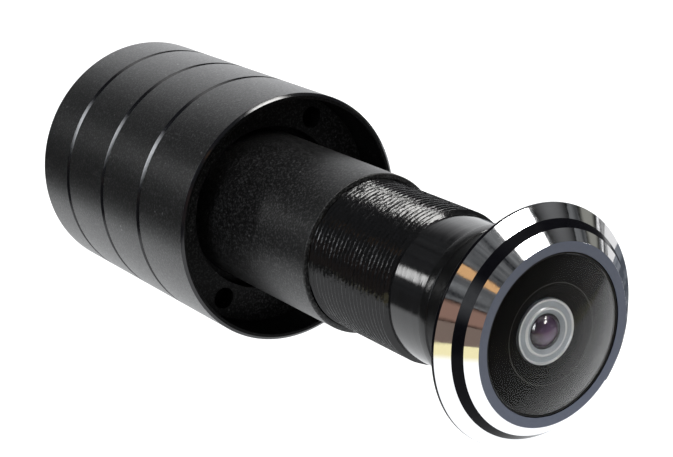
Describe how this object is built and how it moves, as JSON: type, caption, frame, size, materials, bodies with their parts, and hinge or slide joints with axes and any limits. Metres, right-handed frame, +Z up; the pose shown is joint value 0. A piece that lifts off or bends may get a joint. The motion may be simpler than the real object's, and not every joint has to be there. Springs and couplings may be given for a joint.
{
  "type": "peephole door camera",
  "caption": "Door viewer camera: a grooved black housing behind the door and a chrome-ringed domed lens head whose threaded tube screws into its barrel to clamp the door.",
  "frame": {"origin": "on the viewing axis, in the plane of the rim that presses on the inside of the door", "axes": "-Y along the viewing axis, the way the lens looks; +Y towards the housing's back; +Z up"},
  "size_m": [0.04, 0.1106, 0.04],
  "materials": {
    "anodised_black": "fine blasted, black anodised, satin",
    "ring_black": "turned, black anodised, matte",
    "thread_black": "turned, black anodised, glossy",
    "polished_chrome": "bright-cut slopes; step and front face black, satin",
    "gasket_rubber": "moulded, slightly glossy",
    "seal_rubber": "moulded, matte",
    "front_glass": "clear, polished",
    "coated_glass": "clear with a purple coating",
    "optic_glass": "clear, polished",
    "black_plastic": "moulded, matte black",
    "bright_ring": "turned, bright",
    "board_green": "solder mask",
    "chip_black": "moulded, matte",
    "sensor_glass": "dark cover over the sensor",
    "capacitor_sleeve": "sleeved can",
    "connector_cream": "moulded",
    "post_brass": "turned",
    "screw_steel": "zinc plated"
  },
  "bodies": {
    "rear_unit": {"housing": "anodised_black", "rear_cover": "anodised_black", "cover_seal": "seal_rubber", "cable_grommet": "seal_rubber", "retaining_ring": "ring_black", "barrel": "anodised_black", "camera_barrel": "black_plastic", "camera_glass": "coated_glass", "lens_holder": "black_plastic", "image_sensor": "sensor_glass", "main_board": "board_green", "holder_screws": "screw_steel", "processor_chip": "chip_black", "memory_chip": "chip_black", "board_header": "chip_black", "power_board": "board_green", "capacitors": "capacitor_sleeve", "choke": "chip_black", "cable_connector": "connector_cream", "front_posts": "post_brass", "rear_posts": "post_brass", "board_screws": "screw_steel"},
    "gasket": {"door_gasket": "gasket_rubber"},
    "front_unit": {"bezel": "polished_chrome", "front_tube": "thread_black", "dome_lens": "front_glass", "lens_seal": "seal_rubber", "lens_baffle": "black_plastic", "inner_ring": "bright_ring", "inner_lens": "coated_glass", "lens_cell": "black_plastic", "front_spacer": "black_plastic", "field_lens": "optic_glass", "rear_spacer": "black_plastic", "rear_lens": "optic_glass", "lens_retainer": "black_plastic"}
  },
  "joints": [
    {"name": "front_slide", "type": "slide", "parent": "rear_unit", "child": "gasket", "axis": [0, -1, 0], "range_m": [-0.0181, 0.0064]},
    {"name": "front_turn", "type": "hinge", "parent": "gasket", "child": "front_unit", "pos_m": [0, 0, 0], "axis": [0, -1, 0], "range_deg": [-7200, 2520]}
  ],
  "couplings": [
    {"joint": "front_slide", "follows": "front_turn", "m_per_rad": 0.00014324}
  ]
}
